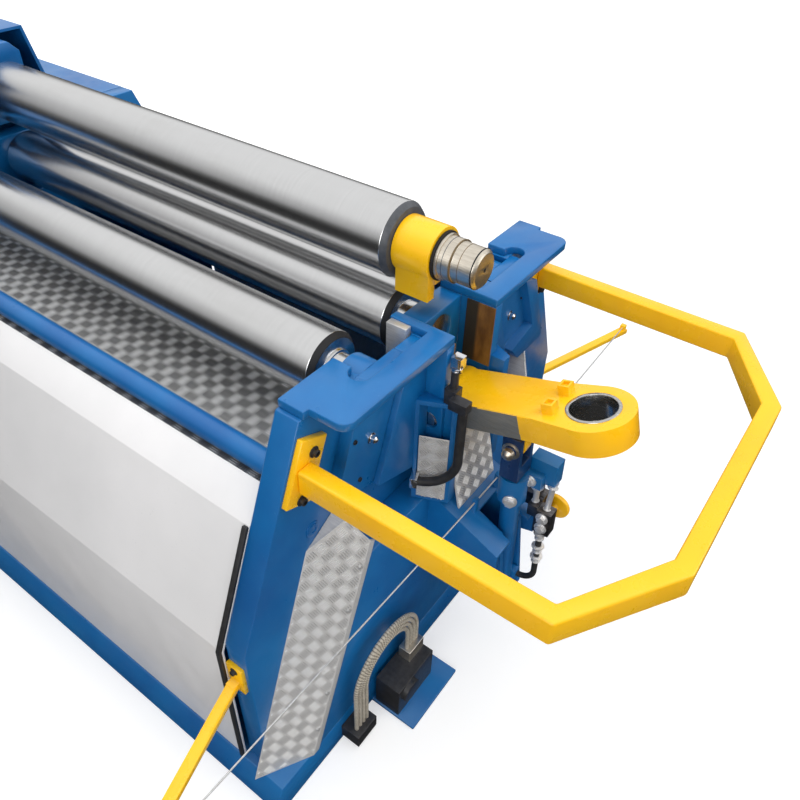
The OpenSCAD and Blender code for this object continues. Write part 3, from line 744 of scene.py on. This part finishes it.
def coverAxes():
    lean = math.radians(coverLook["lean"])
    outward, sideways = coverLook["run"]
    along = Vector((outward, sideways * math.cos(lean), -sideways * math.sin(lean))).normalized()
    up = Vector((0, math.sin(lean), math.cos(lean)))
    return along, up, along.cross(up)


def coverCuts(flip):
    cuts = []
    for first, last in zip(coverLook["outline"], coverLook["outline"][1:]):
        run = Vector((0, last[0] - first[0], last[1] - first[1])).normalized()
        normal = Vector((0, run.z, -run.y))
        point = Vector((0, *first)) - normal * treadLook["margin"]
        cuts.append((point * flip, normal * flip))
    cuts.append((Vector((0, 0, coverLook["foot"])), Vector((0, 0, -1))))
    return cuts


def makeCoverBars():
    look, lift, margin = coverLook, treadLook["lift"], treadLook["margin"]
    along, up, out = coverAxes()
    foot = Vector(look["top"]) - up * look["drop"]
    for side, name in ((-1, "frontCoverBars"), (1, "rearCoverBars")):
        flip = Vector((1, -side, 1))
        if side < 0:
            place = onAxes(foot + along * margin + out * lift, along, up, out)
        else:
            # the mirrored pattern starts from the far edge, so that its bars still stand outwards
            start = (foot + along * (margin + look["size"][0]) + out * lift) * flip
            back = along * flip * -1
            place = onAxes(start, back, up * flip, back.cross(up * flip))
        makeTread(name, place, look["size"], treadLook["diagonal"], coverCuts(flip))


# the small hoods beside the middle gap
hoodLook = {"turn": math.atan2(36.0, 83.0), "corner": (0.045, 0.151, 0.700), "wall": 0.0032, "margin": 0.014,
            "size": (0.066, 0.196)}


def makeHoodBars():
    look = hoodLook
    wide, deep = math.cos(look["turn"]), math.sin(look["turn"])
    for side, name in ((-1, "frontHoodBars"), (1, "rearHoodBars")):
        face = Vector((wide, -side * deep, 0))
        out = Vector((deep, side * wide, 0))
        corner = Vector(look["corner"]) * Vector((1, side, 1)) + out * look["wall"]
        if side < 0:
            place = onAxes(corner + face * look["margin"], face, (0, 0, 1), out)
        else:
            place = onAxes(corner + face * (look["margin"] + look["size"][0]), face * -1, (0, 0, 1), out)
        makeTread(name, place, look["size"], treadLook["diagonal"])


# the slanting cover in the middle gap
gapCoverLook = {"corner": (0.1452, -0.082, 0.654), "slant": (-0.048, 0, 0.2197), "size": (0.164, 0.216)}


def makeGapCoverBars():
    look = gapCoverLook
    across, slant = Vector((0, 1, 0)), Vector(look["slant"]).normalized()
    place = onAxes(look["corner"], across, slant, across.cross(slant))
    makeTread("gapCoverBars", place, look["size"], treadLook["diagonal"])


makeDeckBars()
makeCoverBars()
makeHoodBars()
makeGapCoverBars()
print("stage: tread plates patterned")

# small plates that close the tall covers' upper ends, and bars on their inner sides
returnLook = {
    "inner": (0.3532, 0.742), "apex": (0.388, 0.822), "outer": (0.488, 0.764), "down": (0.352, -0.936),
    "face": (0.8501, 0.4926, 0.1852), "middle": (0, 0.480, 0.763), "behind": 0.0012, "start": 0.0005,
    "width": 0.082, "thickness": 0.0025, "edge": 0.0006, "barsLift": 0.0003, "barsSize": (0.068, 0.300),
}


def makeReturnPlate(side, first, last, inward):
    look = returnLook
    face = Vector(look["face"]) * Vector((1, side, 1))
    middle = Vector(look["middle"]) * Vector((1, side, 1)) - face * look["behind"]
    run = Vector((0, side * (last[0] - first[0]), last[1] - first[1]))
    across = run.normalized()
    start = Vector((look["start"] + look["width"] / 2, side * first[0], first[1])) + run / 2
    bpy.ops.object.select_all(action="DESELECT")
    bpy.ops.mesh.primitive_plane_add(size=1, location=(0, 0, 0))
    plate = bpy.context.object
    turn = onAxes(start, (1, 0, 0), across, Vector((1, 0, 0)).cross(across))
    plate.matrix_world = turn @ Matrix.Diagonal((look["width"], run.length, 1, 1))
    bakePlace(plate)
    bpy.ops.object.mode_set(mode="EDIT")
    bpy.ops.mesh.select_all(action="SELECT")
    bpy.ops.mesh.bisect(plane_co=tuple(middle), plane_no=tuple(face), clear_outer=True)
    bpy.ops.mesh.select_all(action="SELECT")
    inwards = tuple(Vector(inward) * look["thickness"])
    bpy.ops.mesh.extrude_region_move(TRANSFORM_OT_translate={"value": inwards})
    bpy.ops.mesh.select_all(action="SELECT")
    bpy.ops.mesh.normals_make_consistent(inside=False)
    bpy.ops.object.mode_set(mode="OBJECT")
    addBevel(plate, look["edge"], 1)
    return plate


def makeReturnBars(side, name):
    look, margin = returnLook, treadLook["margin"]
    down = Vector((0, side * look["down"][0], look["down"][1]))
    across = down * -side
    out = Vector((1, 0, 0)).cross(across)
    corner = Vector((margin, side * look["inner"][0], look["inner"][1])) + out * look["barsLift"]
    corner += down * (margin if side < 0 else margin + look["barsSize"][1])
    makeTread(name, onAxes(corner, (1, 0, 0), across, out), look["barsSize"])


def makeReturns():
    look = returnLook
    for side, name in ((-1, "frontCoverReturn"), (1, "rearCoverReturn")):
        pickOnly(makeReturnPlate(side, look["inner"], look["apex"], (0, side, 0)),
                 makeReturnPlate(side, look["apex"], look["outer"], (0, 0, -1)))
        bpy.ops.object.join()
        whole = bpy.context.object
        whole.name = name
        smooth(whole)
        dress(whole, ["treadCoverPaintedShade"], "base")
        makeReturnBars(side, name + "Bars")


makeReturns()
print("stage: cover ends closed")

# small fasteners, modelled once each and copied to their places
boltSizes = {
    "socket": {"sides": 20, "radius": 0.0085, "height": 0.008, "recess": 0.0042, "washer": 0.0125},
    "hex": {"sides": 6, "radius": 0.0075, "height": 0.0055, "washer": 0.0105},
    "dome": {"sides": 20, "radius": 0.0085, "height": 0.010, "washer": 0.013},
    "screw": {"sides": 20, "radius": 0.0045, "height": 0.003, "recess": 0.0020},
    "boss": {"sides": 20, "radius": 0.0150, "height": 0.0020, "recess": 0.0016, "washer": 0.020},
}
# shares of a head's radius and height, with a dome's rings as (inwards, up), and how heads are set
headShape = {"rim": 0.18, "crown": 0.12, "wall": 0.28,
             "rings": [(0.18, 0.192), (0.204, 0.128), (0.24, 0.032)], "turn": 0.3, "smooth": 32}
washerShape = {"sides": 24, "lift": 0.0018, "rim": 0.08, "crown": 0.3}


def makeWasher(size):
    look, lift = washerShape, washerShape["lift"]
    bpy.ops.mesh.primitive_cylinder_add(vertices=look["sides"], radius=size, depth=lift,
                                        location=(0, 0, lift / 2))
    washer = bpy.context.object
    bpy.ops.object.mode_set(mode="EDIT")
    pickFaces(washer, lambda face: face.normal.z > 0.9)
    bpy.ops.mesh.inset(thickness=size * look["rim"])
    bpy.ops.transform.translate(value=(0, 0, lift * look["crown"]))
    bpy.ops.object.mode_set(mode="OBJECT")
    return washer


def makeBolt(kind):
    size, look = boltSizes[kind], headShape
    lift = washerShape["lift"] if "washer" in size else 0.0
    radius, height = size["radius"], size["height"]
    bpy.ops.object.select_all(action="DESELECT")
    bpy.ops.mesh.primitive_cylinder_add(vertices=size["sides"], radius=radius, depth=height,
                                        location=(0, 0, lift + height / 2))
    bolt = bpy.context.object
    bpy.ops.object.mode_set(mode="EDIT")
    pickFaces(bolt, lambda face: face.normal.z > 0.9)
    bpy.ops.mesh.inset(thickness=radius * look["rim"])
    bpy.ops.transform.translate(value=(0, 0, height * look["crown"]))
    rings = look["rings"] if kind == "dome" else []
    for inward, rise in rings:
        bpy.ops.mesh.inset(thickness=radius * inward)
        bpy.ops.transform.translate(value=(0, 0, height * rise))
    if "recess" in size:
        bpy.ops.mesh.inset(thickness=radius * look["wall"])
        bpy.ops.mesh.extrude_region_move(TRANSFORM_OT_translate={"value": (0, 0, -size["recess"])})
    bpy.ops.object.mode_set(mode="OBJECT")
    if lift:
        pickOnly(bolt, makeWasher(size["washer"]))
        bpy.ops.object.join()
        bolt = bpy.context.object
    bakePlace(bolt)
    return bolt


def setBolts(name, kind, look, places, body, scale=1.0):
    bolt = makeBolt(kind)
    grow = Matrix.Scale(scale, 4)
    whole = repeatPiece(bolt, [facing(place, normal, turn) @ grow for place, normal, turn in places], name)
    smooth(whole, headShape["smooth"])
    dress(whole, [look], body)


def bothSides(places, normal):
    found = []
    for x, y, z in places:
        for side in (-1, 1):
            way = (normal[0], side * normal[1], normal[2])
            found.append(((x, side * y, z), way, headShape["turn"] * side))
    return found


# places on the rear side, which the front side mirrors
boltPlaces = {
    "bracket": [(0.0152, 0.4470, 1.055), (0.0152, 0.4905, 0.956)],
    "eye": [(0.030, 0.289, 0.981)],
    "plate": [(0.030, 0.330, 0.890), (0.030, 0.343, 1.009), (0.030, 0.296, 0.730)],
    "boss": [(0.0, 0.452, 0.822)],
    "post": [(-0.035, 0.690, 0.545)],
}
boltScales = {"plate": 1.2, "cover": 0.6, "housing": 1.5, "post": 0.8}
# bolts down the free edge of each tall cover's face, measured from its top
coverBolts = {"down": (0.045, 0.17, 0.30, 0.43, 0.555), "along": 0.1395, "turn": 0.2}
# the drive housing's end sheet is screwed on round its edge: half of the pattern, as (y, z)
housingScrews = {
    "stand": 0.0015,
    "at": [(0.651, 0.150), (0.651, 0.300), (0.651, 0.455), (0.651, 0.605), (0.586, 0.770), (0.521, 0.925),
           (0.449, 1.096), (0.330, 1.126), (0.178, 1.170), (0.142, 1.330), (0.075, 1.386), (0.440, 0.138),
           (0.220, 0.138)],
}


def coverBoltPlaces():
    look = coverBolts
    along, up, out = coverAxes()
    spots = [Vector(coverLook["top"]) - up * down + along * look["along"] + out * treadLook["lift"]
             for down in look["down"]]
    places = []
    for flip in (Vector((1, 1, 1)), Vector((1, -1, 1))):
        places += [(spot * flip, out * flip, look["turn"]) for spot in spots]
    return places


def placeBolts():
    at, scale = boltPlaces, boltScales
    out = (1, 0, 0)
    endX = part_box("drive_housing")[0].x + housingScrews["stand"]
    ends = [(endX, y, z) for y, z in housingScrews["at"]]
    setBolts("bracketBolts", "socket", "blackIron", bothSides(at["bracket"], out), "base")
    setBolts("eyeBolts", "dome", "chrome", bothSides(at["eye"], out), "base")
    setBolts("plateScrews", "screw", "blackIron", bothSides(at["plate"], out), "base", scale["plate"])
    setBolts("coverBolts", "hex", "machined", coverBoltPlaces(), "base", scale["cover"])
    setBolts("housingScrews", "screw", "blackIron", bothSides(ends, (-1, 0, 0)), "base", scale["housing"])
    setBolts("plateBosses", "boss", "bluePaint", bothSides(at["boss"], out), "base")
    setBolts("postBolts", "socket", "blackIron", bothSides(at["post"], (0, 1, 0)), "base", scale["post"])


placeBolts()
print("stage: fasteners placed")

# bright unions and short pipes on the ram, each place measured from its foot along the leaning barrel
ramLook = {
    "foot": (0.256, 0.0, 0.330), "lean": -2.25, "sides": 20, "pipe": 0.0075, "ferrule": 0.0092,
    "collar": 1.35, "collarLength": 0.002, "edge": 0.0008, "edgeAngle": 50.0,
    "manifoldNut": 1.55, "headNut": 1.7, "pinEnd": 1.7,
}
unionsInFront = [((0.006, 0.0200, 0.418), 0.2), ((0.034, 0.0200, 0.418), 0.5),
                 ((0.082, 0.0120, 0.320), 0.1), ((0.082, 0.0120, 0.286), 0.6)]
unionsBelow = [((0.050, 0.0330, 0.3985), 0.2), ((0.074, 0.0640, 0.4015), 0.4)]
headUnion = {"at": (0.0120, -0.0335, 0.378), "way": (0.34, -0.94, 0), "turn": 0.3}
valvePipes = [((0.050, 0.033, 0.349), (0.050, 0.033, 0.397)), ((0.084, 0.030, 0.341), (0.084, 0.046, 0.403)),
              ((0.006, 0.012, 0.418), (0.034, 0.012, 0.418))]
ferrules = {"x": 0.080, "y": 0.022, "spans": [(0.150, 0.168), (0.188, 0.208), (0.238, 0.258)]}
pinEnds = {"y": 0.0341, "z": 0.538, "turn": 0.2}


def alongRam(x, y, z):
    lean = math.radians(ramLook["lean"])
    foot = ramLook["foot"]
    out = foot[0] + x * math.cos(lean) + z * math.sin(lean)
    rise = foot[2] - x * math.sin(lean) + z * math.cos(lean)
    return Vector((out, y, rise))


def makePipes(name, runs, radius):
    pipes = []
    for first, last in runs:
        start = alongRam(*first)
        span = alongRam(*last) - start
        bpy.ops.object.select_all(action="DESELECT")
        bpy.ops.mesh.primitive_cylinder_add(vertices=ramLook["sides"], radius=radius, depth=span.length,
                                            location=(0, 0, span.length / 2))
        pipe = bpy.context.object
        bpy.ops.object.mode_set(mode="EDIT")
        for way in (1, -1):
            pickFaces(pipe, lambda face: face.normal.z * way > 0.9)
            bpy.ops.mesh.extrude_region_move()
            bpy.ops.transform.resize(value=(ramLook["collar"], ramLook["collar"], 1.0))
            collar = (0, 0, way * ramLook["collarLength"])
            bpy.ops.mesh.extrude_region_move(TRANSFORM_OT_translate={"value": collar})
        bpy.ops.object.mode_set(mode="OBJECT")
        pipe.matrix_world = facing(start, span) @ pipe.matrix_world
        pipes.append(pipe)
    pickOnly(*pipes)
    bpy.ops.object.join()
    whole = bpy.context.object
    whole.name = name
    bakePlace(whole)
    addBevel(whole, ramLook["edge"], 2, ramLook["edgeAngle"])
    smooth(whole)
    dress(whole, ["zinc"], "ram")


def dressRam():
    look = ramLook
    lean = math.radians(look["lean"])
    front, down = (0, -1, 0), (-math.sin(lean), 0, -math.cos(lean))
    unions = [(alongRam(*spot), front, turn) for spot, turn in unionsInFront]
    unions += [(alongRam(*spot), down, turn) for spot, turn in unionsBelow]
    setBolts("manifoldUnions", "hex", "zinc", unions, "ram", look["manifoldNut"])
    makePipes("valvePipes", valvePipes, look["pipe"])
    head = (alongRam(*headUnion["at"]), headUnion["way"], headUnion["turn"])
    setBolts("headUnion", "hex", "zinc", [head], "ram", look["headNut"])
    x, y = ferrules["x"], ferrules["y"]
    spans = [((x, y, low), (x, y, high)) for low, high in ferrules["spans"]]
    makePipes("hoseFerrules", spans, look["ferrule"])
    y, z, turn = pinEnds["y"], pinEnds["z"], pinEnds["turn"]
    ends = [(alongRam(0.0, side * y, z), (0, side, 0), turn) for side in (-1, 1)]
    setBolts("forkPinEnds", "dome", "stubSteel", ends, "ram_rod_body", look["pinEnd"])


dressRam()
print("stage: ram fittings placed")

# a pale room: the floor glows outwards, and shining surfaces see it darker
floorLook = {"size": 40, "drop": 0.001, "matt": (0.62, 0.62, 0.62), "gloss": (0.035, 0.035, 0.035),
             "glowFrom": 1.5, "glowTo": 6.0, "dimmest": 0.50, "brightest": 1.0}
roomLook = {
    "strength": 0.42, "turnFrom": -0.25, "turnTo": 0.10,
    "wall": [(0.47, 0.04), (0.53, 0.14), (0.58, 0.44), (0.66, 0.58), (0.82, 0.97)],
    "rear": [(0.50, 0.10), (0.55, 0.55), (0.60, 0.95), (0.90, 1.0)],
}
lamps = {
    "overheadLight": {"at": (-0.8, 0.2, 4.2), "to": (-0.8, 0, 0.8), "size": (8.0, 3.4),
                      "power": 205, "shines": False},
    "frontLight": {"at": (1.6, -4.0, 2.6), "to": (-0.3, 0, 0.8), "size": (3.0, 2.4),
                   "power": 74, "shines": True},
    "sideLight": {"at": (4.0, 1.6, 2.4), "to": (0, 0, 0.9), "size": (2.6, 2.2),
                  "power": 32, "shines": True},
}


def addLamp(name, look):
    data = bpy.data.lights.new(name, "AREA")
    data.shape = "RECTANGLE"
    data.size, data.size_y = look["size"]
    data.energy = look["power"]
    lamp = bpy.data.objects.new(name, data)
    lamp.location = look["at"]
    lamp.rotation_euler = (Vector(look["to"]) - Vector(look["at"])).to_track_quat("-Z", "Y").to_euler()
    lamp.visible_glossy = look["shines"]
    bpy.context.scene.collection.objects.link(lamp)


def mixShaders(tree, amount, first, second):
    mix = tree.nodes.new("ShaderNodeMixShader")
    for index, source in enumerate((amount, first.outputs[0], second.outputs[0])):
        tree.links.new(source, mix.inputs[index])
    return mix


def makeFloor():
    look = floorLook
    bpy.ops.object.select_all(action="DESELECT")
    bpy.ops.mesh.primitive_plane_add(size=look["size"], location=(0, 0, -look["drop"]))
    floor = bpy.context.object
    floor.name = "studioFloor"
    material = bpy.data.materials.new("studioFloor")
    material.use_nodes = True
    tree = material.node_tree
    tree.nodes.clear()
    output = tree.nodes.new("ShaderNodeOutputMaterial")
    matt = tree.nodes.new("ShaderNodeBsdfDiffuse")
    matt.inputs["Color"].default_value = (*look["matt"], 1)
    dark = tree.nodes.new("ShaderNodeBsdfDiffuse")
    dark.inputs["Color"].default_value = (*look["gloss"], 1)
    # the glow grows outwards, so that the ground stays white and keeps the machine's shadow
    place = tree.nodes.new("ShaderNodeTexCoord")
    length = tree.nodes.new("ShaderNodeVectorMath")
    length.operation = "LENGTH"
    tree.links.new(place.outputs["Object"], length.inputs[0])
    away = length.outputs["Value"]
    strength = addRange(tree, away, look["glowFrom"], look["glowTo"], look["dimmest"], look["brightest"])
    glow = tree.nodes.new("ShaderNodeEmission")
    tree.links.new(strength, glow.inputs["Strength"])
    bright = tree.nodes.new("ShaderNodeAddShader")
    tree.links.new(matt.outputs[0], bright.inputs[0])
    tree.links.new(glow.outputs[0], bright.inputs[1])
    ray = tree.nodes.new("ShaderNodeLightPath")
    seen = mixShaders(tree, ray.outputs["Is Glossy Ray"], matt, dark)
    whole = mixShaders(tree, ray.outputs["Is Camera Ray"], seen, bright)
    tree.links.new(whole.outputs[0], output.inputs["Surface"])
    floor.data.materials.append(material)


def makeWorld():
    look = roomLook
    world = bpy.data.worlds.new("studioWorld")
    bpy.context.scene.world = world
    world.use_nodes = True
    tree = world.node_tree
    tree.nodes.clear()
    output = tree.nodes.new("ShaderNodeOutputWorld")
    soft = tree.nodes.new("ShaderNodeBackground")
    soft.inputs["Strength"].default_value = look["strength"]
    # polished steel sees a white room with a grey wall and a dark band near the ground
    direction = tree.nodes.new("ShaderNodeTexCoord")
    split = tree.nodes.new("ShaderNodeSeparateXYZ")
    tree.links.new(direction.outputs["Generated"], split.inputs[0])
    height = addRange(tree, split.outputs["Z"], -1.0, 1.0, 0.0, 1.0)
    wall = addRamp(tree, height, [(stop, (tone,) * 3) for stop, tone in look["wall"]])
    rear = addRamp(tree, height, [(stop, (tone,) * 3) for stop, tone in look["rear"]])
    sides = addRange(tree, split.outputs["Y"], look["turnFrom"], look["turnTo"], 0.0, 1.0)
    room = tree.nodes.new("ShaderNodeBackground")
    tree.links.new(mixColours(tree, sides, wall, rear), room.inputs["Color"])
    white = tree.nodes.new("ShaderNodeBackground")
    ray = tree.nodes.new("ShaderNodeLightPath")
    seen = mixShaders(tree, ray.outputs["Is Glossy Ray"], soft, room)
    whole = mixShaders(tree, ray.outputs["Is Camera Ray"], seen, white)
    tree.links.new(whole.outputs[0], output.inputs["Surface"])


def makeStudio():
    makeFloor()
    makeWorld()
    # the room, and not the lamp overhead, shines in the steel
    for name, look in lamps.items():
        addLamp(name, look)
    bpy.context.scene.view_settings.view_transform = "Standard"


makeStudio()
print("stage: studio made")
